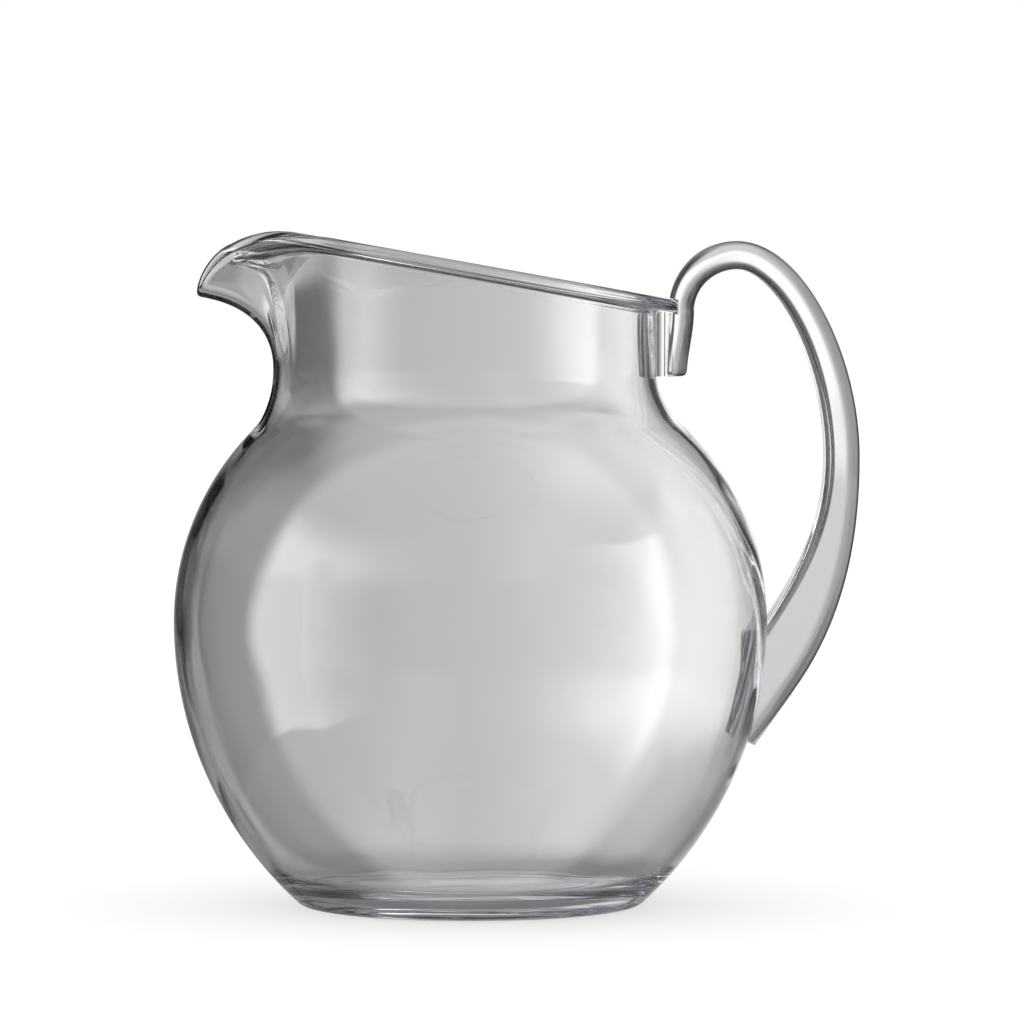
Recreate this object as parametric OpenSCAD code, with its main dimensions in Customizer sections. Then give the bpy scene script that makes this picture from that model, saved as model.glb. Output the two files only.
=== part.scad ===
// Ball-bodied pitcher of clear acrylic: one thin-walled vessel and one solid handle glued to it.
// Lengths are in millimetres and angles in degrees. The origin lies on the vessel's axis, on the
// surface that it stands on. +X points to the handle, -X to the spout and +Z up.

/* [Belly] */
// Largest outside diameter of the belly
belly_d = 184; // [176:1:192]
// Height of the widest ring above the table
belly_z = 88; // [83:1:93]
// Radius of the outside curve above the widest ring
belly_upper_r = 84; // [79:1:89]
// Radius of the outside curve below the widest ring
belly_lower_r = 118; // [111:1:126]
// Thickness of the wall
wall = 2.8; // [2.2:0.1:3.4]

/* [Foot] */
// Thickness of the floor
floor_t = 4.5; // [4:0.5:6]
// Radius where the floor turns up into the wall, inside
floor_corner_r = 26; // [20:1:30]
// Radius of the foot's outside edge
foot_corner_r = 4.5; // [3:0.5:6]
// Diameter of the recess under the foot
recess_d = 76; // [60:1:86]
// Depth of the recess under the foot
recess_depth = 1.6; // [0.8:0.2:2]

/* [Neck and lip] */
// Outside diameter of the neck
neck_d = 115; // [109:1:121]
// Radius of the hollow curve between belly and neck
shoulder_r = 22; // [18:1:26]
// Height of the rim on the vessel's axis above the end of the shoulder curve
neck_h = 32.7; // [29:0.1:37]
// Slope of the rim, down towards the handle
rim_tilt = 10.3; // [8:0.1:12]
// How far the lip stands out from the neck
lip_out = 7; // [6:0.5:8]
// Thickness of the lip
lip_t = 4; // [3:0.2:5]
// Radius of the corner under the lip
lip_fillet_r = 1.5; // [1:0.1:2]
// Radius of the lip's inside edge
lip_edge_r = 1; // [0.6:0.1:1.3]

/* [Spout] */
// How far the tip of the spout stands out from the neck
spout_out = 27.7; // [24:0.1:31]
// Angle from the spout's middle to where its lip leaves the round neck
spout_half_angle = 40; // [34:1:46]
// Angle from the spout's middle to where the broad foot of its throat leaves the round neck
throat_half_angle = 34; // [28:1:40]
// Height of the curve that the rim drops by from the line of its slope to the tip
spout_droop = 28.5; // [26:0.5:32]
// Thickness of the spout's edge at its tip
spout_lip_t = 2.4; // [2:0.1:3]
// Rise of the spout's floor at the tip, measured from the plane of the rim
spout_lip_angle = 2; // [0:1:5]
// How far the curve under the spout keeps the direction of the belly
throat_pull = 12; // [9:0.5:15]
// How far the curve under the spout keeps the direction of its tip
tip_pull = 29; // [26:0.5:32]

/* [Handle] */
// Width of the web between the neck and the handle's upper end
web_w = 4.6; // [3.5:0.1:6]
// Thickness of that web at its two ends
web_t = 9; // [6:0.5:11]
// How deep the web's sides are hollowed between its ends
web_waist = 1.2; // [0.6:0.2:1.8]
// How far the upper end reaches below the lip
stub_drop = 19.5; // [17:0.5:22]
// How far the upper end leans out on its way up
stub_lean = 1.6; // [0.8:0.2:2.4]
// Radius of the arch's middle line
arch_r = 17.2; // [15:0.2:19]
// Height of the arch's middle line above the low end of the rim
arch_rise = 14; // [12:0.5:16]
// How far the grip's middle line stands out from the belly
grip_out = 25.5; // [21:0.5:29]
// Height of the grip's outermost point above the widest ring
grip_up = 50; // [44:1:56]
// Depth below the widest ring at which the middle line ends
foot_down = 34; // [30:1:38]
// Distance of that end inside the widest ring
foot_in = 10.5; // [9:0.5:12]
// Slope of the middle line at that end
foot_angle = 53; // [48:1:58]
// Depth of the section at the upper end
stub_depth = 5.4; // [4.8:0.2:6.4]
// Depth of the section where the arch starts
rise_depth = 7; // [6:0.2:8]
// Depth of the section at the top of the arch
arch_depth = 8.8; // [7.6:0.2:10]
// Depth of the section at the grip
grip_depth = 9.6; // [8.4:0.2:11]
// Depth of the section at the lower end
foot_depth = 18; // [15:0.5:20]
// Thickness of the upper end and the arch
arch_t = 12; // [10:0.5:15]
// Thickness of the grip
grip_t = 15; // [12:0.5:18]
// Thickness of the lower end
foot_t = 18; // [15:0.5:22]
// Radius of the section's edges on the outside of the loop
outer_edge_r = 4; // [2:0.2:5]
// Radius of the section's edges on the inside of the loop, from the grip down
inner_edge_r = 1.4; // [1:0.1:2.5]
// Radius of those edges on the upper end and the arch
arch_edge_r = 3.5; // [2:0.1:4]
// Radius of the upper end's rounding
stub_end_r = 1.8; // [1:0.1:2.2]

/* [Joints between the pieces] */
// Thickness of the adhesive between handle and vessel
bond_t = 0.3; // [0.2:0.05:0.6]
// Space between the lip and the notch that the handle has for it
lip_clear = 0.3; // [0.2:0.05:0.6]

/* [Hidden] */
$fn = 144;

// How far cuts run past the faces that they cut
overrun = 1;
// How far a rounding stands past the curve that it meets, so that the two cross
sink = 0.02;
// Meridians of the lofted neck, and how closely they crowd towards the spout
loft_turns = 96;
loft_crowding = 1.2;
// Steps along the loft's outer skin and along its inner skin
skin_steps = 11;
// How deep the loft's skirt sits in the revolved wall, and how far inside its two faces
skirt_h = 1;
skirt_gap = 0.18;
// Spacing of the points next to the spout's tip
tip_step = 0.8;
// Height of the loft's start, from the widest ring to the end of the shoulder
seam_share = 0.74;
// Where the rim starts to drop, from the axis to the neck
droop_from_share = 0.87;
// How much of the dropping quarter curve is used up to the tip
droop_end_share = 0.98;
// How much the pulls of the spout's curve change with the distance from the outside
pull_share = 2;
// Blunting of the spout's tip and of its throat in plan, and how fast the spout narrows
blunt_share = 0.15;
throat_blunt_share = 0.3;
narrowing = 2.6;
// Part of the spout's shape over which the lip gives way to the spout's thin edge
lip_from_share = 0.46;
lip_to_share = 0.64;
// Lengths of the handle curve's tangents, of the heights or widths that they span
arch_tangent_share = 0.552;
top_tangent_share = 0.5;
grip_upper_share = 0.49;
grip_lower_share = 0.45;
foot_tangent_share = 0.33;
// Part of the lower grip over which its section swells
swell_share = 0.7;
// Rings along the stub, the arch and the two halves of the grip
stub_rings = 5;
arch_rings = 9;
upper_rings = 12;
lower_rings = 14;
// Points of one rounded corner of the handle's section
corner_points = 5;

belly_r = belly_d / 2;
neck_r = neck_d / 2;
lower_centre_x = belly_r - belly_lower_r;
upper_centre_x = belly_r - belly_upper_r;
shoulder_x = neck_r + shoulder_r;
shoulder_span = belly_upper_r + shoulder_r;
shoulder_z = belly_z + sqrt(pow(shoulder_span, 2) - pow(shoulder_x - upper_centre_x, 2));
seam_z = belly_z + seam_share * (shoulder_z - belly_z);
lip_r = neck_r + lip_out;
rim_z = shoulder_z + neck_h;
rim_low_z = rim_plane(lip_r);
spout_reach = neck_r + spout_out;
droop_from = droop_from_share * neck_r;
tip_r = spout_reach - spout_lip_t / 2;
tip_drop = droop(spout_reach);

// Plain helpers
function mix(a, b, share) = a + (b - a) * share;
function ease(t) = t * t * (3 - 2 * t);
function bezier(p, t) =
    p[0] * pow(1 - t, 3) + 3 * p[1] * t * pow(1 - t, 2) + 3 * p[2] * t * t * (1 - t) + p[3] * pow(t, 3);
function bezier_slope(p, t) =
    (p[1] - p[0]) * pow(1 - t, 2) + 2 * (p[2] - p[1]) * t * (1 - t) + (p[3] - p[2]) * t * t;

// Height at which the upper belly curve meets the shoulder curve, on the form moved in by inset
function shoulder_touch_z(inset) =
    mix(belly_z, shoulder_z, (belly_upper_r - inset) / shoulder_span);
function shoulder_touch_x(inset) =
    mix(upper_centre_x, shoulder_x, (belly_upper_r - inset) / shoulder_span);

// Radius of the round form above the widest ring, moved in by inset
function form_r(z, inset) =
    z < shoulder_touch_z(inset)
        ? upper_centre_x + sqrt(pow(belly_upper_r - inset, 2) - pow(z - belly_z, 2))
    : z < shoulder_z
        ? shoulder_x - sqrt(pow(shoulder_r + inset, 2) - pow(shoulder_z - z, 2))
    : neck_r - inset;

// The rim: a sloping plane, and the drop of its edge towards the tip of the spout
function rim_plane(x) = rim_z - x * tan(rim_tilt);
function droop(out) =
    let (far = droop_end_share * max(0, out - droop_from) / (spout_reach - droop_from))
    spout_droop * (1 - sqrt(1 - pow(far, 2)));

// How much of the spout's shape the meridian at an angle from the spout's middle has, at a rise from the
// broad throat at 0 to the lip at 1
function spout_weight(angle, rise) =
    let (
        half_angle = mix(throat_half_angle, spout_half_angle, rise * rise),
        blunt = mix(throat_blunt_share, blunt_share, rise * rise),
        u = min(1, abs(angle) / half_angle),
        blunted = (sqrt(u * u + blunt * blunt) - blunt) / (sqrt(1 + blunt * blunt) - blunt)
    )
    pow(1 - blunted, narrowing);

// Lip of the round neck and lip of the spout's tip, as radius and depth below the rim
neck_lip = concat(
    [for (b = [0, 45, 90]) [neck_r + lip_fillet_r * (1 - cos(b)), lip_t + lip_fillet_r * (1 - sin(b))]],
    [for (b = [-90:30:90]) [lip_r - lip_t / 2 * (1 - cos(b)), lip_t / 2 * (1 - sin(b))]],
    [for (b = [90, 135, 180]) [neck_r - wall + lip_edge_r * (1 + cos(b)), lip_edge_r * (1 - sin(b))]]
);
tip_lip = concat(
    [for (k = [3, 2, 1]) [tip_r - k * tip_step, spout_lip_t + k * tip_step * tan(spout_lip_angle)]],
    [for (b = [-90:30:90]) [tip_r + spout_lip_t / 2 * cos(b), spout_lip_t / 2 * (1 - sin(b))]],
    [for (k = [1, 2, 3]) [tip_r - k * tip_step, k * tip_step * tan(spout_lip_angle)]]
);
lip_last = len(neck_lip) - 1;
tip_edge = [tip_lip[0][0], 0];
neck_edge = [neck_r, 0];

// The curve under the middle of the spout, and the one of its channel, each from the seam to the tip
function front_curve(inset, end) =
    let (
        start_r = form_r(seam_z, inset),
        tip = [end[0], rim_plane(-end[0]) - tip_drop - end[1]],
        along = [belly_z - seam_z, start_r - upper_centre_x] / (belly_upper_r - inset),
        slope = spout_lip_angle + rim_tilt,
        start = [start_r, seam_z]
    )
    [
        start,
        start + (throat_pull - pull_share * inset) * along,
        tip - (tip_pull + pull_share * inset) * [cos(slope), sin(slope)],
        tip
    ];
outer_front = front_curve(0, tip_lip[0]);
inner_front = front_curve(wall, tip_lip[lip_last]);

// How far a point of the spout's curve stands out from the round form
function bulge(point, inset) = point[0] - form_r(point[1], inset);

// One skin of the loft at one meridian, between the seam and a point of the lip
function skin(front, inset, angle, end) =
    let (miss = bulge(end, inset) - spout_weight(angle, 1) * bulge(front[3], inset))
    [
        for (i = [1 : skin_steps - 1])
            let (
                point = bezier(front, i / skin_steps),
                rise = (point[1] - seam_z) / (front[3][1] - seam_z),
                z = mix(seam_z, end[1], rise),
                out = spout_weight(angle, rise) * bulge(point, inset)
            )
            [form_r(z, inset) + out + miss * pow(rise, 4), z]
    ];

// The closed section of the loft at one meridian: outer skin, lip, inner skin and skirt
function loft_section(angle) =
    let (
        weight = spout_weight(angle, 1),
        thinned = ease(min(1, max(0, (weight - lip_from_share) / (lip_to_share - lip_from_share)))),
        reach = mix(lip_r, spout_reach, weight),
        wall_r = reach - mix(lip_out, spout_reach - tip_edge[0], thinned),
        drop = droop(reach * cos(angle)),
        lip = [
            for (i = [0 : lip_last])
                let (
                    p = mix(neck_lip[i] - neck_edge, tip_lip[i] - tip_edge, thinned),
                    r = wall_r + p[0]
                )
                [r, rim_plane(-r * cos(angle)) - drop - p[1]]
        ],
        outside = skin(outer_front, 0, angle, lip[0]),
        inside = skin(inner_front, wall, angle, lip[lip_last]),
        skirt_z = seam_z - skirt_h
    )
    concat(
        [[form_r(skirt_z, skirt_gap), skirt_z]],
        outside,
        lip,
        [for (i = [len(inside) - 1 : -1 : 0]) inside[i]],
        [[form_r(skirt_z, wall - skirt_gap), skirt_z]]
    );

// Triangles between rings of points, where each ring closes on itself
function band_faces(rings, size, closed) = [
    for (j = [0 : closed ? rings - 1 : rings - 2])
        for (i = [0 : size - 1])
            let (
                a = j * size + i,
                b = j * size + (i + 1) % size,
                c = (j + 1) % rings * size + (i + 1) % size,
                d = (j + 1) % rings * size + i
            )
            each [[a, b, c], [a, c, d]]
];

// Neck, lip and spout as one loft round the axis, crowded towards the spout
module lofted_neck() {
    angles = [
        for (j = [0 : loft_turns - 1])
            let (s = 1 - 2 * j / loft_turns)
            180 * sign(s) * pow(abs(s), loft_crowding)
    ];
    points = [for (a = angles) for (p = loft_section(a)) [-p[0] * cos(a), p[0] * sin(a), p[1]]];
    polyhedron(points, band_faces(loft_turns, len(loft_section(0)), true), convexity = 6);
}

// Half section of the round form moved in by inset, solid, with a rounded edge at its bottom
module form_section(inset, bottom_z, corner_r, top_z) {
    lower_r = belly_lower_r - inset;
    corner_z = bottom_z + corner_r;
    corner_x = lower_centre_x + sink + sqrt(pow(lower_r - corner_r, 2) - pow(belly_z - corner_z, 2));
    touch_z = mix(belly_z, corner_z, lower_r / (lower_r - corner_r));
    outer_r = belly_r - inset;
    intersection() {
        translate([0, bottom_z])
            square([outer_r + overrun, top_z - bottom_z]);
        union() {
            intersection() {
                translate([lower_centre_x, belly_z])
                    circle(lower_r);
                translate([0, touch_z])
                    square([outer_r + overrun, belly_z - touch_z]);
            }
            translate([0, bottom_z])
                square([corner_x, belly_z - bottom_z]);
            translate([corner_x, corner_z])
                circle(corner_r);
            difference() {
                union() {
                    intersection() {
                        translate([upper_centre_x, belly_z])
                            circle(belly_upper_r - inset);
                        translate([0, belly_z])
                            square([outer_r + overrun, shoulder_z - belly_z]);
                    }
                    translate([0, belly_z])
                        square([neck_r - inset, top_z - belly_z]);
                    translate([0, shoulder_touch_z(inset)])
                        square([shoulder_touch_x(inset), shoulder_z - shoulder_touch_z(inset)]);
                }
                translate([shoulder_x, shoulder_z])
                    circle(shoulder_r + inset + sink);
            }
        }
    }
}

// The vessel: revolved foot and belly, and the lofted neck on top
module vessel() {
    color("gainsboro", 0.5) {
        rotate_extrude()
            difference() {
                form_section(0, 0, foot_corner_r, seam_z);
                form_section(wall, floor_t, floor_corner_r, seam_z + overrun);
                translate([0, -overrun])
                    square([recess_d / 2, recess_depth + overrun]);
            }
        lofted_neck();
    }
}

// The handle's middle line as four curves: upper end, arch, upper grip and lower grip
stub_start = [neck_r + web_w + stub_depth / 2, rim_low_z - lip_t - stub_drop];
arch_start = [stub_start[0] + stub_lean, rim_low_z + arch_rise - arch_r];
arch_top = arch_start + [arch_r, arch_r];
grip_point = [belly_r + grip_out, belly_z + grip_up];
foot_end = [belly_r - foot_in, belly_z - foot_down];
stub_reach = (arch_start[1] - stub_start[1]) / 3;
foot_reach = foot_tangent_share * (grip_point[1] - foot_end[1]);
stub_curve = [stub_start, stub_start + [0, stub_reach], arch_start - [0, stub_reach], arch_start];
arch_curve = [
    arch_start,
    arch_start + [0, arch_tangent_share * arch_r],
    arch_top - [arch_tangent_share * arch_r, 0],
    arch_top
];
upper_curve = [
    arch_top,
    arch_top + [top_tangent_share * (grip_point[0] - arch_top[0]), 0],
    grip_point + [0, grip_upper_share * (arch_top[1] - grip_point[1])],
    grip_point
];
lower_curve = [
    grip_point,
    grip_point - [0, grip_lower_share * (grip_point[1] - foot_end[1])],
    foot_end + foot_reach * [cos(foot_angle), sin(foot_angle)],
    foot_end
];

// Rounded section: depth along the first axis, thickness along the second, outside of the loop first
function handle_section(depth, thick, edge_r) =
    let (
        outer = min(outer_edge_r, depth / 2, thick / 2),
        inner = min(edge_r, depth / 2, thick / 2),
        corners = [[1, 1, outer], [-1, 1, inner], [-1, -1, inner], [1, -1, outer]]
    )
    [
        for (q = [0 : 3])
            for (k = [0 : corner_points - 1])
                let (
                    c = corners[q],
                    turn = 90 * (q + k / (corner_points - 1)),
                    centre = [c[0] * (depth / 2 - c[2]), c[1] * (thick / 2 - c[2])]
                )
                centre + c[2] * [cos(turn), sin(turn)]
    ];

// One ring of the handle, set square to its curve
function handle_ring(curve, t, depth, thick, edge_r) =
    let (
        at = bezier(curve, t),
        slope = bezier_slope(curve, t),
        along = slope / norm(slope)
    )
    [
        for (p = handle_section(depth, thick, edge_r))
            [at[0] - along[1] * p[0], p[1], at[1] + along[0] * p[0]]
    ];

// Rings of one curve, where the section goes from one depth, thickness and edge to the next
function handle_rings(curve, count, first, from, to, span_share) = [
    for (k = [first : count - 1])
        let (
            t = k / count,
            size = mix(from, to, ease(min(1, t / span_share)))
        )
        handle_ring(curve, t, size[0], size[1], size[2])
];

// The upper end's rounding: rings that grow to the full section over the rounding's radius
function stub_end_rings() = [
    for (b = [0, 30, 60])
        let (
            cut = 2 * stub_end_r * (1 - sin(b)),
            t = stub_end_r * (1 - cos(b)) / (3 * stub_reach)
        )
        handle_ring(stub_curve, t, stub_depth - cut, arch_t - cut, arch_edge_r)
];

// The bar of the handle, which runs on into the belly
module handle_bar() {
    stub_size = [stub_depth, arch_t, arch_edge_r];
    rise_size = [rise_depth, arch_t, arch_edge_r];
    arch_size = [arch_depth, arch_t, arch_edge_r];
    grip_size = [grip_depth, grip_t, inner_edge_r];
    foot_size = [foot_depth, foot_t, inner_edge_r];
    rings = concat(
        stub_end_rings(),
        handle_rings(stub_curve, stub_rings, 1, stub_size, rise_size, 1),
        handle_rings(arch_curve, arch_rings, 0, rise_size, arch_size, 1),
        handle_rings(upper_curve, upper_rings, 0, arch_size, grip_size, 1),
        handle_rings(lower_curve, lower_rings, 0, grip_size, foot_size, swell_share),
        [handle_ring(lower_curve, 1, foot_depth, foot_t, inner_edge_r)]
    );
    size = 4 * corner_points;
    last = (len(rings) - 1) * size;
    polyhedron(
        [for (ring = rings) each ring],
        concat(
            band_faces(len(rings), size, false),
            [[for (i = [size - 1 : -1 : 0]) i]],
            [[for (i = [0 : size - 1]) last + i]]
        ),
        convexity = 6
    );
}

// The web that carries the upper end on the neck. Its top lies under the lip, with a cut corner for the
// fillet there, and its sides are hollowed.
module handle_web() {
    inner_x = neck_r - overrun;
    under_x = neck_r + lip_fillet_r;
    under_gap = lip_t + lip_clear / cos(rim_tilt);
    bottom_z = stub_start[1];
    waist_r = (pow(web_w / 2, 2) + pow(web_waist, 2)) / (2 * web_waist);
    difference() {
        rotate([90, 0, 0])
            linear_extrude(height = web_t, center = true)
                polygon([
                    [inner_x, bottom_z],
                    [stub_start[0], bottom_z],
                    [stub_start[0], rim_plane(stub_start[0]) - under_gap],
                    [under_x, rim_plane(under_x) - under_gap],
                    [neck_r, rim_plane(neck_r) - under_gap - lip_fillet_r],
                    [inner_x, rim_plane(inner_x) - under_gap - lip_fillet_r]
                ]);
        for (side = [-1, 1])
            translate([neck_r + web_w / 2, side * (web_t / 2 - web_waist + waist_r), bottom_z - overrun])
                cylinder(r = waist_r, h = rim_z - bottom_z);
    }
}

// The round form grown by the adhesive's thickness
module grown_form() {
    rotate_extrude()
        form_section(-bond_t, 0, foot_corner_r, rim_z);
}

// The space that the lip takes up in the handle
module lip_notch() {
    notch_r = lip_r + lip_clear;
    notch_h = lip_t * cos(rim_tilt) + 2 * lip_clear;
    intersection() {
        cylinder(r = notch_r, h = rim_z);
        translate([0, 0, rim_z])
            rotate([0, rim_tilt, 0])
                translate([0, -notch_r, lip_clear - notch_h])
                    cube([2 * notch_r, 2 * notch_r, notch_h]);
    }
}

// The handle: bar and web, cut to the form of neck and belly and notched for the lip
module handle() {
    color("whitesmoke", 0.6)
        difference() {
            union() {
                handle_bar();
                handle_web();
            }
            grown_form();
            lip_notch();
        }
}

// The film of adhesive round the form
module bond_film() {
    difference() {
        grown_form();
        rotate_extrude()
            form_section(0, 0, foot_corner_r, rim_z + overrun);
    }
}

// The adhesive between the web and the neck
module upper_bond() {
    color("lavender", 0.6)
        intersection() {
            bond_film();
            handle_web();
        }
}

// The adhesive between the lower end and the belly
module lower_bond() {
    color("lavender", 0.6)
        intersection() {
            bond_film();
            handle_bar();
        }
}

vessel();
handle();
upper_bond();
lower_bond();
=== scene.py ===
"""Looks of a clear acrylic ball pitcher: vessel, handle, the adhesive between them, light and camera."""
import math

import bmesh
import bpy
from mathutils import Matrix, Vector


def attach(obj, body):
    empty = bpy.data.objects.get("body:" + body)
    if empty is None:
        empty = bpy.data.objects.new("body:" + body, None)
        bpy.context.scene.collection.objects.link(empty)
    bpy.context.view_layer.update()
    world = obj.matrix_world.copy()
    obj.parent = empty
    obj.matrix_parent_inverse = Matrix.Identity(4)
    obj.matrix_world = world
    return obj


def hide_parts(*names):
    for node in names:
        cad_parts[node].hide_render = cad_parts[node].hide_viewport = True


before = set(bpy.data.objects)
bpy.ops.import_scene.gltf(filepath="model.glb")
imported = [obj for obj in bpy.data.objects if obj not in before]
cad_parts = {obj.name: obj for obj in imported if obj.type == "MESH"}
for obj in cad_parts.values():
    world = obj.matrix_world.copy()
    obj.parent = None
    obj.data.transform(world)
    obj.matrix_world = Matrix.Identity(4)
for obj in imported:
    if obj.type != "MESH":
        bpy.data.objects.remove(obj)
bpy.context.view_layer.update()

# Sizes of the vessel, in metres and radians, as in the CAD model, with the recess's edge rounded as well
BELLY_R = 0.092
BELLY_Z = 0.088
BELLY_UPPER_R = 0.084
BELLY_LOWER_R = 0.118
WALL = 0.0028
FLOOR_T = 0.0045
FLOOR_CORNER_R = 0.026
FOOT_CORNER_R = 0.0045
RECESS_R = 0.038
RECESS_DEPTH = 0.0016
RECESS_EDGE_R = 0.0005
NECK_R = 0.0575
SHOULDER_R = 0.022
NECK_H = 0.0327
RIM_TILT = math.radians(10.3)
LIP_OUT = 0.007
LIP_T = 0.004
LIP_FILLET_R = 0.0015
LIP_EDGE_R = 0.001
SPOUT_OUT = 0.0277
SPOUT_HALF_ANGLE = math.radians(40)
THROAT_HALF_ANGLE = math.radians(34)
SPOUT_DROOP = 0.0285
SPOUT_LIP_T = 0.0024
SPOUT_LIP_ANGLE = math.radians(2)
THROAT_PULL = 0.012
TIP_PULL = 0.029
TIP_STEP = 0.0008
SEAM_SHARE = 0.74
DROOP_FROM_SHARE = 0.87
DROOP_END_SHARE = 0.98
PULL_SHARE = 2
BLUNT_SHARE = 0.15
THROAT_BLUNT_SHARE = 0.3
NARROWING = 2.6
LIP_FROM_SHARE = 0.46
LIP_TO_SHARE = 0.64
LIP_BLEND_POWER = 4

# Sizes of the handle and its bonds, as in the CAD model, with a shallower waist for softer lines of light
WEB_W = 0.0046
WEB_T = 0.009
WEB_WAIST = 0.0006
STUB_DROP = 0.0195
STUB_LEAN = 0.0016
ARCH_R = 0.0172
ARCH_RISE = 0.014
GRIP_OUT = 0.0255
GRIP_UP = 0.05
FOOT_DOWN = 0.034
FOOT_IN = 0.0105
FOOT_ANGLE = math.radians(53)
STUB_DEPTH = 0.0054
RISE_DEPTH = 0.007
ARCH_DEPTH = 0.0088
GRIP_DEPTH = 0.0096
FOOT_DEPTH = 0.018
ARCH_T = 0.012
GRIP_T = 0.015
FOOT_T = 0.018
OUTER_EDGE_R = 0.004
INNER_EDGE_R = 0.0014
ARCH_EDGE_R = 0.0035
STUB_END_R = 0.0018
BOND_T = 0.0003
LIP_CLEAR = 0.0003
ARCH_TANGENT_SHARE = 0.552
TOP_TANGENT_SHARE = 0.5
GRIP_UPPER_SHARE = 0.49
GRIP_LOWER_SHARE = 0.45
FOOT_TANGENT_SHARE = 0.33
SWELL_SHARE = 0.7
# How far the bonds reach into both neighbours, so that light passes without an air gap
BOND_OVERLAP = 0.00002
# Where the solids that cut handle and bonds start: those from outside the wall, and the one within it
SEAT_LOW_Z = 0.04
CORE_LOW_Z = 0.03

# Fineness of the meshes
MERIDIANS = 288
CROWDING = 1.2
SKIN_STEPS = 40
FOOT_CORNER_POINTS = 12
LOWER_BELLY_POINTS = 40
UPPER_BELLY_POINTS = 30
RECESS_EDGE_POINTS = 6
DISC_SHARES = (0.25, 0.5, 0.75, 0.9)
FILLET_POINTS = 7
LIP_EDGE_POINTS = 15
TIP_FLAT_STEPS = 3
FORM_TURNS = 192
FORM_POINTS = 120
CORNER_POINTS = 9
FLAT_POINTS = 5
STUB_END_POINTS = 8
WEB_POINTS = 25
STUB_RINGS = 20
ARCH_RINGS = 36
UPPER_RINGS = 50
LOWER_RINGS = 60
SHARP_ANGLE = math.radians(32)

lower_x = BELLY_R - BELLY_LOWER_R
upper_x = BELLY_R - BELLY_UPPER_R
shoulder_x = NECK_R + SHOULDER_R
shoulder_span = BELLY_UPPER_R + SHOULDER_R
shoulder_z = BELLY_Z + math.sqrt(shoulder_span ** 2 - (shoulder_x - upper_x) ** 2)
seam_z = BELLY_Z + SEAM_SHARE * (shoulder_z - BELLY_Z)
lip_r = NECK_R + LIP_OUT
rim_z = shoulder_z + NECK_H
spout_reach = NECK_R + SPOUT_OUT
droop_from = DROOP_FROM_SHARE * NECK_R
tip_r = spout_reach - SPOUT_LIP_T / 2


# Plain helpers
def mix(a, b, share):
    return a + (b - a) * share


def mix_points(p, q, share):
    return tuple(mix(a, b, share) for a, b in zip(p, q))


def ease(t):
    return t * t * (3 - 2 * t)


def bezier(p, t):
    return p[0] * (1 - t) ** 3 + 3 * p[1] * t * (1 - t) ** 2 + 3 * p[2] * t * t * (1 - t) + p[3] * t ** 3


def bezier_slope(p, t):
    return (p[1] - p[0]) * (1 - t) ** 2 + 2 * (p[2] - p[1]) * t * (1 - t) + (p[3] - p[2]) * t * t


def spread(first, last, count):
    """Count values from first to last."""
    return [mix(first, last, i / (count - 1)) for i in range(count)]


def arc(x, z, radius, first, last, count):
    """Points of an arc about (x, z), angles in radians."""
    return [(x + radius * math.cos(a), z + radius * math.sin(a)) for a in spread(first, last, count)]


def between(p, q):
    """Points that fill the flat between two points, without these two."""
    return [mix_points(p, q, k / FLAT_POINTS) for k in range(1, FLAT_POINTS)]


def whole_turn(count):
    """Angles once round, in radians."""
    return [2 * math.pi * j / count for j in range(count)]


# The round form of the vessel, moved in by inset
def touch_z(inset):
    return mix(BELLY_Z, shoulder_z, (BELLY_UPPER_R - inset) / shoulder_span)


def form_r(z, inset):
    """Radius of the round form at height z."""
    if z < BELLY_Z:
        return lower_x + math.sqrt((BELLY_LOWER_R - inset) ** 2 - (z - BELLY_Z) ** 2)
    if z < touch_z(inset):
        return upper_x + math.sqrt((BELLY_UPPER_R - inset) ** 2 - (z - BELLY_Z) ** 2)
    if z < shoulder_z:
        return shoulder_x - math.sqrt((SHOULDER_R + inset) ** 2 - (shoulder_z - z) ** 2)
    return NECK_R - inset


def foot_and_belly(inset, bottom_z, corner_r):
    """Half section from the bottom's flat over its rounded edge and the belly to the spout's seam."""
    lower_r = BELLY_LOWER_R - inset
    upper_r = BELLY_UPPER_R - inset
    corner_z = bottom_z + corner_r
    corner_x = lower_x + math.sqrt((lower_r - corner_r) ** 2 - (BELLY_Z - corner_z) ** 2)
    touch = math.atan2(corner_z - BELLY_Z, corner_x - lower_x)
    top = math.asin((seam_z - BELLY_Z) / upper_r)
    return (
        arc(corner_x, corner_z, corner_r, -math.pi / 2, touch, FOOT_CORNER_POINTS)
        + arc(lower_x, BELLY_Z, lower_r, touch, 0, LOWER_BELLY_POINTS)[1:]
        + arc(upper_x, BELLY_Z, upper_r, 0, top, UPPER_BELLY_POINTS)[1:]
    )


# The rim and the spout
def rim_plane(x):
    return rim_z - x * math.tan(RIM_TILT)


def droop(out):
    far = DROOP_END_SHARE * max(0, out - droop_from) / (spout_reach - droop_from)
    return SPOUT_DROOP * (1 - math.sqrt(1 - far ** 2))


def spout_weight(angle, rise):
    """How much of the spout's shape the meridian at an angle from the spout's middle has, at a rise from
    the broad throat at 0 to the lip at 1."""
    half_angle = mix(THROAT_HALF_ANGLE, SPOUT_HALF_ANGLE, rise * rise)
    blunt = mix(THROAT_BLUNT_SHARE, BLUNT_SHARE, rise * rise)
    u = min(1, abs(angle) / half_angle)
    full = math.sqrt(1 + blunt * blunt) - blunt
    return max(0, 1 - (math.sqrt(u * u + blunt * blunt) - blunt) / full) ** NARROWING


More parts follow.
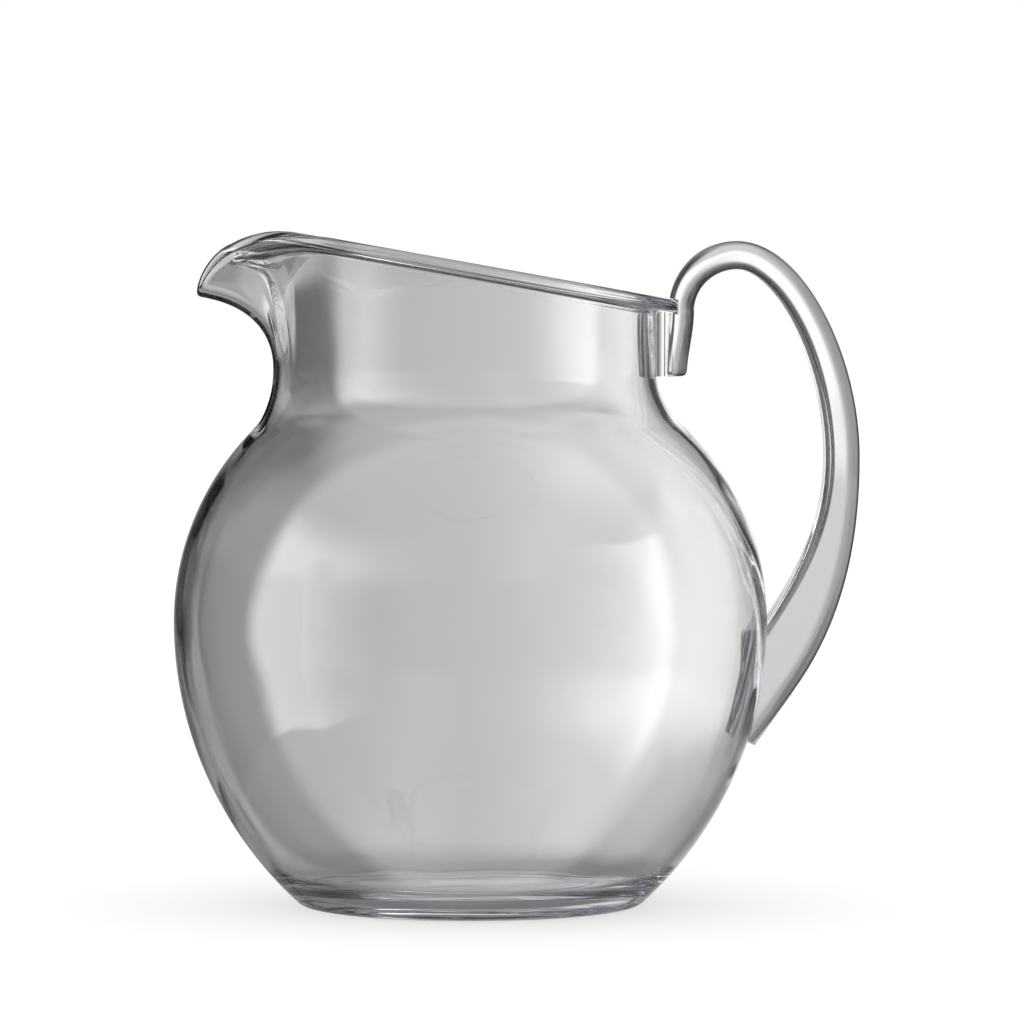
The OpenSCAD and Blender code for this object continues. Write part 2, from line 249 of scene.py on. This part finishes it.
def neck_lip():
    """Lip of the round neck, as radius and depth below the rim, from the outside over the top inwards."""
    half = LIP_T / 2
    under = [
        (NECK_R + LIP_FILLET_R * (1 - math.cos(b)), LIP_T + LIP_FILLET_R * (1 - math.sin(b)))
        for b in spread(0, math.pi / 2, FILLET_POINTS)
    ]
    edge = [
        (lip_r - half * (1 - math.cos(b)), half * (1 - math.sin(b)))
        for b in spread(-math.pi / 2, math.pi / 2, LIP_EDGE_POINTS)
    ]
    inside = [
        (NECK_R - WALL + LIP_EDGE_R * (1 + math.cos(b)), LIP_EDGE_R * (1 - math.sin(b)))
        for b in spread(math.pi / 2, math.pi, FILLET_POINTS)
    ]
    return under, edge, inside


def tip_lip():
    """Lip of the spout's tip, point for point like the lip of the neck."""
    half = SPOUT_LIP_T / 2
    rise = math.tan(SPOUT_LIP_ANGLE)
    flat = [k * TIP_STEP for k in spread(1, TIP_FLAT_STEPS, FILLET_POINTS)]
    under = [(tip_r - back, SPOUT_LIP_T + back * rise) for back in flat[::-1]]
    edge = [
        (tip_r + half * math.cos(b), half * (1 - math.sin(b)))
        for b in spread(-math.pi / 2, math.pi / 2, LIP_EDGE_POINTS)
    ]
    inside = [(tip_r - back, back * rise) for back in flat]
    return under, edge, inside


def whole_lip(under, edge, inside):
    """One list of lip points, with the two flats between the rounded stretches filled in."""
    return under + between(under[-1], edge[0]) + edge + between(edge[-1], inside[0]) + inside


lip_round = whole_lip(*neck_lip())
lip_tip = whole_lip(*tip_lip())


def front_curve(inset, end):
    """Curve under the middle of the spout, or of its channel, from the seam to the tip."""
    start = Vector((form_r(seam_z, inset), seam_z))
    along = Vector((BELLY_Z - seam_z, start[0] - upper_x)) / (BELLY_UPPER_R - inset)
    slope = SPOUT_LIP_ANGLE + RIM_TILT
    tip = Vector((end[0], rim_plane(-end[0]) - droop(spout_reach) - end[1]))
    return [
        start,
        start + (THROAT_PULL - PULL_SHARE * inset) * along,
        tip - (TIP_PULL + PULL_SHARE * inset) * Vector((math.cos(slope), math.sin(slope))),
        tip,
    ]


outer_front = front_curve(0, lip_tip[0])
inner_front = front_curve(WALL, lip_tip[-1])


def bulge(point, inset):
    """How far a point of the spout's curve stands out from the round form."""
    return point[0] - form_r(point[1], inset)


def skin(front, inset, angle, end):
    """One skin of neck and spout at one meridian, between the seam and the lip."""
    miss = bulge(end, inset) - spout_weight(angle, 1) * bulge(front[3], inset)
    points = []
    for i in range(1, SKIN_STEPS):
        point = bezier(front, i / SKIN_STEPS)
        rise = (point[1] - seam_z) / (front[3][1] - seam_z)
        z = mix(seam_z, end[1], rise)
        out = spout_weight(angle, rise) * bulge(point, inset)
        points.append((form_r(z, inset) + out + miss * rise ** LIP_BLEND_POWER, z))
    return points


def neck_section(angle):
    """Outer skin, lip and inner skin at one meridian."""
    weight = spout_weight(angle, 1)
    thinned = ease(min(1, max(0, (weight - LIP_FROM_SHARE) / (LIP_TO_SHARE - LIP_FROM_SHARE))))
    reach = mix(lip_r, spout_reach, weight)
    tip_edge = lip_tip[0][0]
    wall_r = reach - mix(LIP_OUT, spout_reach - tip_edge, thinned)
    drop = droop(reach * math.cos(angle))
    lip = []
    for p, q in zip(lip_round, lip_tip):
        r = wall_r + mix(p[0] - NECK_R, q[0] - tip_edge, thinned)
        depth = mix(p[1], q[1], thinned)
        lip.append((r, rim_plane(-r * math.cos(angle)) - drop - depth))
    outside = skin(outer_front, 0, angle, lip[0])
    inside = skin(inner_front, WALL, angle, lip[-1])
    return outside + lip + inside[::-1]


# Meshes
def make_object(name, points, faces):
    mesh = bpy.data.meshes.new(name)
    mesh.from_pydata(points, [], faces)
    mesh.validate()
    piece = bpy.data.objects.new(name, mesh)
    bpy.context.scene.collection.objects.link(piece)
    return piece


def turn_out(piece):
    """Point all normals of a closed piece outwards and shade it smooth, with its hard edges kept."""
    work = bmesh.new()
    work.from_mesh(piece.data)
    bmesh.ops.recalc_face_normals(work, faces=work.faces)
    work.to_mesh(piece.data)
    work.free()
    piece.data.shade_smooth()
    piece.data.set_sharp_from_angle(angle=SHARP_ANGLE)


def turned(name, sections, angles, low_z, high_z):
    """Closed piece of one open section per meridian, closed on the axis at two heights."""
    size = len(sections[0])
    points = [
        (-r * math.cos(a), r * math.sin(a), z)
        for a, section in zip(angles, sections)
        for r, z in section
    ]
    points += [(0, 0, low_z), (0, 0, high_z)]
    low, high = len(points) - 2, len(points) - 1
    faces = []
    for j in range(len(angles)):
        here = j * size
        there = (j + 1) % len(angles) * size
        faces += [(here + i, here + i + 1, there + i + 1, there + i) for i in range(size - 1)]
        faces += [(low, here, there), (here + size - 1, high, there + size - 1)]
    piece = make_object(name, points, faces)
    turn_out(piece)
    return piece


def make_vessel():
    """Foot, belly, neck, lip and spout as one wall."""
    edge_r = RECESS_EDGE_R
    recess = (
        [(share * RECESS_R, RECESS_DEPTH) for share in DISC_SHARES]
        + arc(RECESS_R - edge_r, RECESS_DEPTH - edge_r, edge_r, math.pi / 2, 0, RECESS_EDGE_POINTS)
        + arc(RECESS_R + edge_r, edge_r, edge_r, math.pi, 1.5 * math.pi, RECESS_EDGE_POINTS)
    )
    outside = foot_and_belly(0, 0, FOOT_CORNER_R)
    ring = between(recess[-1], outside[0])
    inside = foot_and_belly(WALL, FLOOR_T, FLOOR_CORNER_R)
    ground = [(share * inside[0][0], FLOOR_T) for share in DISC_SHARES[::-1]]
    angles = []
    for j in range(MERIDIANS):
        s = 1 - 2 * j / MERIDIANS
        angles.append(math.copysign(math.pi * abs(s) ** CROWDING, s))
    sections = [recess + ring + outside + neck_section(a) + inside[::-1] + ground for a in angles]
    return turned("acrylic_vessel", sections, angles, RECESS_DEPTH, FLOOR_T)


def make_form(inset, low_z, high_z):
    """The round form as a solid between two heights."""
    section = [(form_r(z, inset), z) for z in spread(low_z, high_z, FORM_POINTS)]
    return turned("round_form", [section] * FORM_TURNS, whole_turn(FORM_TURNS), low_z, high_z)


def handle_curves():
    """The handle's middle line: upper end, arch, upper grip and lower grip."""
    rim_low_z = rim_plane(lip_r)
    stub = Vector((NECK_R + WEB_W + STUB_DEPTH / 2, rim_low_z - LIP_T - STUB_DROP))
    arch = Vector((stub[0] + STUB_LEAN, rim_low_z + ARCH_RISE - ARCH_R))
    top = arch + Vector((ARCH_R, ARCH_R))
    grip = Vector((BELLY_R + GRIP_OUT, BELLY_Z + GRIP_UP))
    foot = Vector((BELLY_R - FOOT_IN, BELLY_Z - FOOT_DOWN))
    rise = Vector((0, (arch[1] - stub[1]) / 3))
    bend = ARCH_TANGENT_SHARE * ARCH_R
    foot_reach = FOOT_TANGENT_SHARE * (grip[1] - foot[1])
    return [
        [stub, stub + rise, arch - rise, arch],
        [arch, arch + Vector((0, bend)), top - Vector((bend, 0)), top],
        [
            top,
            top + Vector((TOP_TANGENT_SHARE * (grip[0] - top[0]), 0)),
            grip + Vector((0, GRIP_UPPER_SHARE * (top[1] - grip[1]))),
            grip,
        ],
        [
            grip,
            grip - Vector((0, GRIP_LOWER_SHARE * (grip[1] - foot[1]))),
            foot + foot_reach * Vector((math.cos(FOOT_ANGLE), math.sin(FOOT_ANGLE))),
            foot,
        ],
    ]


def handle_section(depth, thick, edge_r):
    """Rounded section: depth first, thickness second, with the outside of the loop first."""
    outer = min(OUTER_EDGE_R, depth / 2, thick / 2)
    inner = min(edge_r, depth / 2, thick / 2)
    corners = []
    for q, (u, v, r) in enumerate([(1, 1, outer), (-1, 1, inner), (-1, -1, inner), (1, -1, outer)]):
        start = q * math.pi / 2
        x = u * (depth / 2 - r)
        y = v * (thick / 2 - r)
        corners.append(arc(x, y, r, start, start + math.pi / 2, CORNER_POINTS))
    points = []
    for corner, following in zip(corners, corners[1:] + corners[:1]):
        points += corner + between(corner[-1], following[0])
    return points


def handle_ring(curve, t, depth, thick, edge_r):
    """One ring of the handle, set square to its curve."""
    at = bezier(curve, t)
    along = bezier_slope(curve, t).normalized()
    return [
        (at[0] - along[1] * d, w, at[1] + along[0] * d)
        for d, w in handle_section(depth, thick, edge_r)
    ]


def make_bar():
    """The bar of the handle, which runs on into the belly."""
    curves = handle_curves()
    sizes = [
        (STUB_DEPTH, ARCH_T, ARCH_EDGE_R),
        (RISE_DEPTH, ARCH_T, ARCH_EDGE_R),
        (ARCH_DEPTH, ARCH_T, ARCH_EDGE_R),
        (GRIP_DEPTH, GRIP_T, INNER_EDGE_R),
        (FOOT_DEPTH, FOOT_T, INNER_EDGE_R),
    ]
    plan = [(STUB_RINGS, 1), (ARCH_RINGS, 1), (UPPER_RINGS, 1), (LOWER_RINGS, SWELL_SHARE)]
    stub_length = (curves[0][3] - curves[0][0])[1]
    rings = []
    for b in spread(0, math.pi / 2, STUB_END_POINTS)[:-1]:
        cut = 2 * STUB_END_R * (1 - math.sin(b))
        t = STUB_END_R * (1 - math.cos(b)) / stub_length
        rings.append(handle_ring(curves[0], t, STUB_DEPTH - cut, ARCH_T - cut, ARCH_EDGE_R))
    for number, (count, share) in enumerate(plan):
        for k in range(count):
            t = k / count
            if number == 0 and t * stub_length < STUB_END_R:
                continue
            size = mix_points(sizes[number], sizes[number + 1], ease(min(1, t / share)))
            rings.append(handle_ring(curves[number], t, *size))
    rings.append(handle_ring(curves[3], 1, *sizes[4]))
    size = len(rings[0])
    faces = [
        (j * size + i, j * size + (i + 1) % size, (j + 1) * size + (i + 1) % size, (j + 1) * size + i)
        for j in range(len(rings) - 1)
        for i in range(size)
    ]
    faces.append(tuple(range(size)))
    faces.append(tuple(range((len(rings) - 1) * size, len(rings) * size)))
    bar = make_object("handle_bar", [p for ring in rings for p in ring], faces)
    turn_out(bar)
    return bar


def make_web():
    """The web that carries the handle's upper end on the neck, under the lip, with hollowed sides."""
    stub = handle_curves()[0][0]
    under_x = NECK_R + LIP_FILLET_R
    under_gap = LIP_T + LIP_CLEAR / math.cos(RIM_TILT)
    waist_r = ((WEB_W / 2) ** 2 + WEB_WAIST ** 2) / (2 * WEB_WAIST)
    waist_y = WEB_T / 2 - WEB_WAIST + waist_r
    columns = [NECK_R - WALL] + spread(NECK_R, NECK_R + WEB_W, WEB_POINTS) + [stub[0]]
    points = []
    for x in columns:
        off = abs(x - NECK_R - WEB_W / 2)
        half = WEB_T / 2
        if off < WEB_W / 2:
            half = waist_y - math.sqrt(waist_r ** 2 - off ** 2)
        corner = min(LIP_FILLET_R, max(0, under_x - x))
        top = rim_plane(x) - under_gap - corner
        points += [(x, -half, stub[1]), (x, half, stub[1]), (x, half, top), (x, -half, top)]
    faces = [(0, 1, 2, 3)]
    for j in range(0, len(points) - 4, 4):
        faces += [(j + i, j + (i + 1) % 4, j + 4 + (i + 1) % 4, j + 4 + i) for i in range(4)]
    faces.append(tuple(range(len(points) - 4, len(points))))
    web = make_object("handle_web", points, faces)
    turn_out(web)
    return web


def make_lip_notch():
    """The space that the lip takes up in the handle."""
    reach = lip_r + LIP_CLEAR
    gap = LIP_CLEAR / math.cos(RIM_TILT)
    angles = whole_turn(FORM_TURNS)
    sections = []
    for a in angles:
        z = rim_plane(-reach * math.cos(a))
        sections.append([(reach, z - LIP_T - gap), (reach, z + gap)])
    return turned("lip_notch", sections, angles, rim_z - LIP_T - gap, rim_z + gap)


def combine(piece, tool, operation):
    """Cut a tool from a piece, join the two or keep what they share. The tool goes."""
    step = piece.modifiers.new("combine", "BOOLEAN")
    step.operation = operation
    step.solver = "EXACT"
    step.object = tool
    graph = bpy.context.evaluated_depsgraph_get()
    result = bpy.data.meshes.new_from_object(piece.evaluated_get(graph))
    piece.modifiers.clear()
    piece.data = result
    bpy.data.objects.remove(tool)


def make_handle():
    """Bar and web, cut to the form of neck and belly and notched for the lip."""
    handle = make_bar()
    handle.name = "acrylic_handle"
    combine(handle, make_web(), "UNION")
    combine(handle, make_form(-BOND_T, SEAT_LOW_Z, rim_z), "DIFFERENCE")
    combine(handle, make_lip_notch(), "DIFFERENCE")
    turn_out(handle)
    return handle


def make_bond(name, seat):
    """The film of adhesive between the form and a seat of the handle."""
    seat.name = name
    combine(seat, make_form(-BOND_T - BOND_OVERLAP, SEAT_LOW_Z, rim_z), "INTERSECT")
    combine(seat, make_form(BOND_OVERLAP, CORE_LOW_Z, rim_z + WALL), "DIFFERENCE")
    turn_out(seat)
    return seat


# Materials: clear acrylic with the slight waves that moulding leaves, and a polish that varies a little
ACRYLIC_IOR = 1.49
WAVE_HEIGHT = 0.0008
WAVE_SCALE = 28
WAVE_DETAIL = 1
POLISH_SCALE = 60
POLISH_DETAIL = 3
POLISH_SPREAD_SHARE = 0.5
VESSEL_LOOK = {"tint": (0.5, 0.5, 0.56), "density": 11, "roughness": 0.005}
HANDLE_LOOK = {"tint": (0.5, 0.5, 0.54), "density": 12, "roughness": 0.005}
ADHESIVE_LOOK = {"tint": (0.55, 0.5, 0.8), "density": 500, "roughness": 0.03}


def node_of(tree, kind, **settings):
    """A new node with some of its settings given."""
    node = tree.nodes.new(kind)
    for key, value in settings.items():
        setattr(node, key, value)
    return node


def noise_node(tree, place, scale, detail):
    noise = node_of(tree, "ShaderNodeTexNoise")
    noise.inputs["Scale"].default_value = scale
    noise.inputs["Detail"].default_value = detail
    tree.links.new(place, noise.inputs["Vector"])
    return noise.outputs["Fac"]


def acrylic(name, tint, density, roughness):
    """Clear polished acrylic with a faint tint in its depth."""
    material = bpy.data.materials.new(name)
    material.use_nodes = True
    tree = material.node_tree
    shader = tree.nodes["Principled BSDF"]
    shader.inputs["Base Color"].default_value = (1, 1, 1, 1)
    shader.inputs["IOR"].default_value = ACRYLIC_IOR
    shader.inputs["Transmission Weight"].default_value = 1
    place = node_of(tree, "ShaderNodeTexCoord").outputs["Object"]
    bump = node_of(tree, "ShaderNodeBump")
    bump.inputs["Strength"].default_value = 1
    bump.inputs["Distance"].default_value = WAVE_HEIGHT
    tree.links.new(noise_node(tree, place, WAVE_SCALE, WAVE_DETAIL), bump.inputs["Height"])
    tree.links.new(bump.outputs["Normal"], shader.inputs["Normal"])
    polish = node_of(tree, "ShaderNodeMapRange")
    polish.inputs["To Min"].default_value = roughness * (1 - POLISH_SPREAD_SHARE)
    polish.inputs["To Max"].default_value = roughness * (1 + POLISH_SPREAD_SHARE)
    tree.links.new(noise_node(tree, place, POLISH_SCALE, POLISH_DETAIL), polish.inputs["Value"])
    tree.links.new(polish.outputs["Result"], shader.inputs["Roughness"])
    depth = node_of(tree, "ShaderNodeVolumeAbsorption")
    depth.inputs["Color"].default_value = (*tint, 1)
    depth.inputs["Density"].default_value = density
    tree.links.new(depth.outputs["Volume"], tree.nodes["Material Output"].inputs["Volume"])
    return material


def dress(piece, material, node):
    piece.data.materials.clear()
    piece.data.materials.append(material)
    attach(piece, "root")
    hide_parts(node)


dress(make_vessel(), acrylic("vessel_acrylic", **VESSEL_LOOK), "vessel")
dress(make_handle(), acrylic("handle_acrylic", **HANDLE_LOOK), "handle")
adhesive = acrylic("adhesive", **ADHESIVE_LOOK)
dress(make_bond("upper_adhesive", make_web()), adhesive, "upper_bond")
dress(make_bond("lower_adhesive", make_bar()), adhesive, "lower_bond")

# Camera: where it stands, what it looks at and how wide it sees
CAMERA_TURN = math.radians(9)
CAMERA_DISTANCE = 2.5
CAMERA_HEIGHT = 0.263
AIM_RIGHT = 0.01287
AIM_HEIGHT = 0.1219
VIEW_WIDTH = 0.31744
SENSOR = 36

forward = Vector((math.sin(CAMERA_TURN), math.cos(CAMERA_TURN), 0))
right = Vector((math.cos(CAMERA_TURN), -math.sin(CAMERA_TURN), 0))


def add_camera():
    data = bpy.data.cameras.new("camera")
    camera = bpy.data.objects.new("camera", data)
    bpy.context.scene.collection.objects.link(camera)
    camera.location = -CAMERA_DISTANCE * forward + Vector((0, 0, CAMERA_HEIGHT))
    aim = AIM_RIGHT * right + Vector((0, 0, AIM_HEIGHT))
    way = aim - camera.location
    camera.rotation_euler = way.to_track_quat("-Z", "Y").to_euler()
    data.sensor_width = SENSOR
    data.lens = SENSOR * way.length / VIEW_WIDTH
    bpy.context.scene.camera = camera


# Light: a white floor, and a grey studio that only the acrylic sees: backdrop, soft box on the left, room
FLOOR_RADIUS = 4.0
FLOOR_TURNS = 96
FLOOR_DROP = 0.0002
FLOOR_GREY = 0.5
FLOOR_GLOW = 0.58

# The backdrop: its place, and its levels at places to the right and up, in metres
BACKDROP_AHEAD = 0.6
BACKDROP_HALF = 0.6
BACKDROP_LOW = -0.3
BACKDROP_HIGH = 0.9
BACKDROP_ACROSS = (
    (-0.6, 0.01), (-0.25, 0.04), (-0.19, 0.24), (-0.15, 0.35), (-0.066, 0.37), (0.0, 0.43), (0.02, 0.47),
    (0.045, 0.57), (0.066, 0.6), (0.1, 0.66), (0.2, 0.64), (0.28, 0.05), (0.6, 0.02),
)
BACKDROP_UPWARD = (
    (-0.3, 0.3), (-0.2, 0.45), (-0.15, 0.6), (-0.1, 0.8), (-0.05, 0.95), (0.0, 1.0), (0.26, 1.0),
    (0.32, 0.4), (0.38, 0.06), (0.9, 0.03),
)
BACKDROP_TABLE = ((-0.3, 0.2), (-0.12, 0.26), (-0.04, 0.1), (0.0, 0.0), (1.0, 0.0))

# The backdrop's bright panel and the shade on its left: each edge starts at the first place and is full
# at the second
LOW_PANEL_SIDE = (0.065, 0.11)
LOW_PANEL_FOOT = (-0.03, 0.01)
HIGH_PANEL_SIDE = (0.02, 0.12)
HIGH_PANEL_FOOT = (0.085, 0.13)
PANEL_END = (0.27, 0.2)
PANEL_TOP = (0.34, 0.25)
PANEL_LEVEL = 0.42
SHADE_SIDE = (-0.05, -0.09)
SHADE_FOOT = (0.1, 0.14)
SHADE_LEVEL = -0.5
HIGH_SHADE_SIDE = (0.03, -0.05)
HIGH_SHADE_FOOT = (0.17, 0.19)
HIGH_SHADE_SHARE = 0.4
# More surfaces passed than this means two walls, as in the vessel, and not one solid, as in the handle
SOLID_SURFACES = 2.5

# The room and its soft box, by direction: right, ahead and up run from -1 to 1, edges as above
ROOM_ACROSS = ((-1.0, 0.7), (-0.5, 1.0), (0.4, 0.9), (0.8, 0.2), (1.0, 0.05))
UNLIT_UPWARD = ((-1.0, 0.06), (0.7, 0.06), (0.95, 1.0), (1.0, 1.0))
CEILING = (0.6, 0.9)
BOX_AHEAD = (-0.95, -0.25)
LEFT_SIDE = (0, -0.3)
BOX_FOOT = (-0.46, -0.43)
BOX_TOP = (0.65, 0.4)
BACK_HALF = (-0.05, 0.15)
HORIZON = (-0.26, -0.18)
# Levels of room, soft box, table, ground in front and ground behind, straight through the acrylic and by
# way of a reflection
THROUGH_LEVELS = (0.45, 0.15, 0.45, 0.4, 0.15)
MIRRORED_LEVELS = (1.2, 3.0, 1.6, 1.2, 0.2)
BOUNCES = 48


def feed(tree, socket, value):
    """Give an input a plain number or the output of another node."""
    if isinstance(value, (int, float)):
        socket.default_value = value
    else:
        tree.links.new(value, socket)


def math_node(tree, operation, *values):
    """A Math node whose inputs are sockets or plain numbers."""
    node = node_of(tree, "ShaderNodeMath", operation=operation)
    for socket, value in zip(node.inputs, values):
        feed(tree, socket, value)
    return node.outputs["Value"]


def product_node(tree, first, *others):
    for other in others:
        first = math_node(tree, "MULTIPLY", first, other)
    return first


def dot_node(tree, vector, direction):
    node = node_of(tree, "ShaderNodeVectorMath", operation="DOT_PRODUCT")
    tree.links.new(vector, node.inputs[0])
    node.inputs[1].default_value = direction
    return node.outputs["Value"]


def step_node(tree, value, low, high):
    """Rises smoothly from 0 at low to 1 at high, or falls where low is the larger."""
    node = node_of(tree, "ShaderNodeMapRange", interpolation_type="SMOOTHSTEP")
    tree.links.new(value, node.inputs["Value"])
    node.inputs["From Min"].default_value = min(low, high)
    node.inputs["From Max"].default_value = max(low, high)
    node.inputs["To Min"].default_value = 0 if low < high else 1
    node.inputs["To Max"].default_value = 1 if low < high else 0
    return node.outputs["Result"]


def mix_node(tree, share, first, second):
    """First where share is 0, second where it is 1."""
    node = node_of(tree, "ShaderNodeMix", data_type="FLOAT")
    feed(tree, node.inputs["Factor"], share)
    feed(tree, node.inputs["A"], first)
    feed(tree, node.inputs["B"], second)
    return node.outputs["Result"]


def ramp_node(tree, value, stops):
    """Levels at places from -1 to 1, straight in between."""
    node = node_of(tree, "ShaderNodeFloatCurve")
    curve = node.mapping.curves[0]
    node.mapping.extend = "HORIZONTAL"
    while len(curve.points) < len(stops):
        curve.points.new(0, 0)
    for point, (place, level) in zip(curve.points, stops):
        point.location = (0.5 + 0.5 * place, level)
        point.handle_type = "VECTOR"
    node.mapping.update()
    tree.links.new(math_node(tree, "MULTIPLY_ADD", value, 0.5, 0.5), node.inputs["Value"])
    return node.outputs["Value"]


def add_floor():
    points = [
        (FLOOR_RADIUS * math.cos(a), FLOOR_RADIUS * math.sin(a), -FLOOR_DROP)
        for a in whole_turn(FLOOR_TURNS)
    ]
    floor = make_object("floor", points, [tuple(range(FLOOR_TURNS))])
    material = bpy.data.materials.new("floor_white")
    material.use_nodes = True
    tree = material.node_tree
    shader = tree.nodes["Principled BSDF"]
    shader.inputs["Base Color"].default_value = (FLOOR_GREY, FLOOR_GREY, FLOOR_GREY, 1)
    shader.inputs["Roughness"].default_value = 1
    shader.inputs["Specular IOR Level"].default_value = 0
    shader.inputs["Emission Color"].default_value = (1, 1, 1, 1)
    path = node_of(tree, "ShaderNodeLightPath")
    glow = product_node(tree, path.outputs["Is Camera Ray"], FLOOR_GLOW)
    tree.links.new(glow, shader.inputs["Emission Strength"])
    floor.data.materials.append(material)
    floor.visible_transmission = False
    floor.visible_glossy = False


def add_backdrop():
    """The grey card behind the object: dim on the left, bright on the right, fading out at its edges."""
    corners = []
    for side, z in ((-1, BACKDROP_LOW), (1, BACKDROP_LOW), (1, BACKDROP_HIGH), (-1, BACKDROP_HIGH)):
        corners.append(BACKDROP_AHEAD * forward + side * BACKDROP_HALF * right + Vector((0, 0, z)))
    card = make_object("backdrop", [tuple(c) for c in corners], [(0, 1, 2, 3)])
    material = bpy.data.materials.new("backdrop_grey")
    material.use_nodes = True
    tree = material.node_tree
    tree.nodes.remove(tree.nodes["Principled BSDF"])
    place = node_of(tree, "ShaderNodeNewGeometry").outputs["Position"]
    sideways = dot_node(tree, place, right)
    height = dot_node(tree, place, (0, 0, 1))
    across = ramp_node(tree, sideways, BACKDROP_ACROSS)
    upward = ramp_node(tree, height, BACKDROP_UPWARD)
    table = ramp_node(tree, height, BACKDROP_TABLE)
    # A brighter panel on the right, which starts further in above the middle of the object. Its low part
    # shows through the two walls of the vessel, but not through the solid handle
    surfaces = node_of(tree, "ShaderNodeLightPath").outputs["Transmission Depth"]
    walls = math_node(tree, "GREATER_THAN", surfaces, SOLID_SURFACES)
    low_side = step_node(tree, sideways, *LOW_PANEL_SIDE)
    low_panel = product_node(tree, low_side, step_node(tree, height, *LOW_PANEL_FOOT), walls)
    high_side = step_node(tree, sideways, *HIGH_PANEL_SIDE)
    high_panel = product_node(tree, high_side, step_node(tree, height, *HIGH_PANEL_FOOT))
    panel = math_node(tree, "MAXIMUM", low_panel, high_panel)
    panel = product_node(tree, panel, step_node(tree, sideways, *PANEL_END))
    panel = product_node(tree, panel, step_node(tree, height, *PANEL_TOP))
    # A shade on the left, behind the spout
    shade = product_node(tree, step_node(tree, sideways, *SHADE_SIDE), step_node(tree, height, *SHADE_FOOT))
    high_shade_side = step_node(tree, sideways, *HIGH_SHADE_SIDE)
    high_shade = product_node(tree, high_shade_side, step_node(tree, height, *HIGH_SHADE_FOOT))
    shade = math_node(tree, "MULTIPLY_ADD", high_shade, HIGH_SHADE_SHARE, shade)
    glow = node_of(tree, "ShaderNodeEmission")
    level = math_node(tree, "MAXIMUM", product_node(tree, across, upward), table)
    level = product_node(tree, level, math_node(tree, "MULTIPLY_ADD", shade, SHADE_LEVEL, 1))
    level = math_node(tree, "MULTIPLY_ADD", panel, PANEL_LEVEL, level)
    tree.links.new(level, glow.inputs["Strength"])
    tree.links.new(glow.outputs["Emission"], tree.nodes["Material Output"].inputs["Surface"])
    card.data.materials.append(material)
    card.visible_camera = False
    card.visible_diffuse = False
    card.visible_shadow = False


def add_world():
    world = bpy.data.worlds.new("studio")
    bpy.context.scene.world = world
    world.use_nodes = True
    tree = world.node_tree
    direction = node_of(tree, "ShaderNodeTexCoord").outputs["Generated"]
    across = dot_node(tree, direction, right)
    ahead = dot_node(tree, direction, forward)
    up = dot_node(tree, direction, (0, 0, 1))
    # Beside and above the backdrop the studio is dark
    dimmed = ramp_node(tree, up, UNLIT_UPWARD)
    # The room on the camera's side, with the soft box on the left
    room = ramp_node(tree, across, ROOM_ACROSS)
    room = math_node(tree, "MAXIMUM", room, step_node(tree, up, *CEILING))
    left = step_node(tree, across, *LEFT_SIDE)
    box_sides = product_node(tree, step_node(tree, ahead, *BOX_AHEAD), left)
    box = product_node(tree, box_sides, step_node(tree, up, *BOX_FOOT), step_node(tree, up, *BOX_TOP))
    behind = step_node(tree, ahead, *BACK_HALF)
    table = product_node(tree, step_node(tree, ahead, *BACK_HALF[::-1]), left)
    above = math_node(tree, "MAXIMUM", step_node(tree, up, *HORIZON), box)
    path = node_of(tree, "ShaderNodeLightPath")
    through = path.outputs["Is Transmission Ray"]
    mirrored = math_node(tree, "GREATER_THAN", path.outputs["Glossy Depth"], 0.5)
    shown = 1
    for ray, levels in ((through, THROUGH_LEVELS), (mirrored, MIRRORED_LEVELS)):
        room_level, box_level, table_level, front_level, back_level = levels
        lit_room = math_node(tree, "MULTIPLY_ADD", box, box_level, product_node(tree, room, room_level))
        ground = mix_node(tree, behind, mix_node(tree, table, front_level, table_level), back_level)
        unlit = product_node(tree, dimmed, room_level)
        studio = mix_node(tree, above, ground, mix_node(tree, behind, lit_room, unlit))
        shown = mix_node(tree, ray, shown, studio)
    background = tree.nodes["Background"]
    background.inputs["Color"].default_value = (1, 1, 1, 1)
    tree.links.new(shown, background.inputs["Strength"])


add_camera()
add_floor()
add_backdrop()
add_world()
bpy.context.scene.view_settings.view_transform = "Standard"
bpy.context.scene.cycles.max_bounces = BOUNCES
bpy.context.scene.cycles.glossy_bounces = BOUNCES
bpy.context.scene.cycles.transmission_bounces = BOUNCES
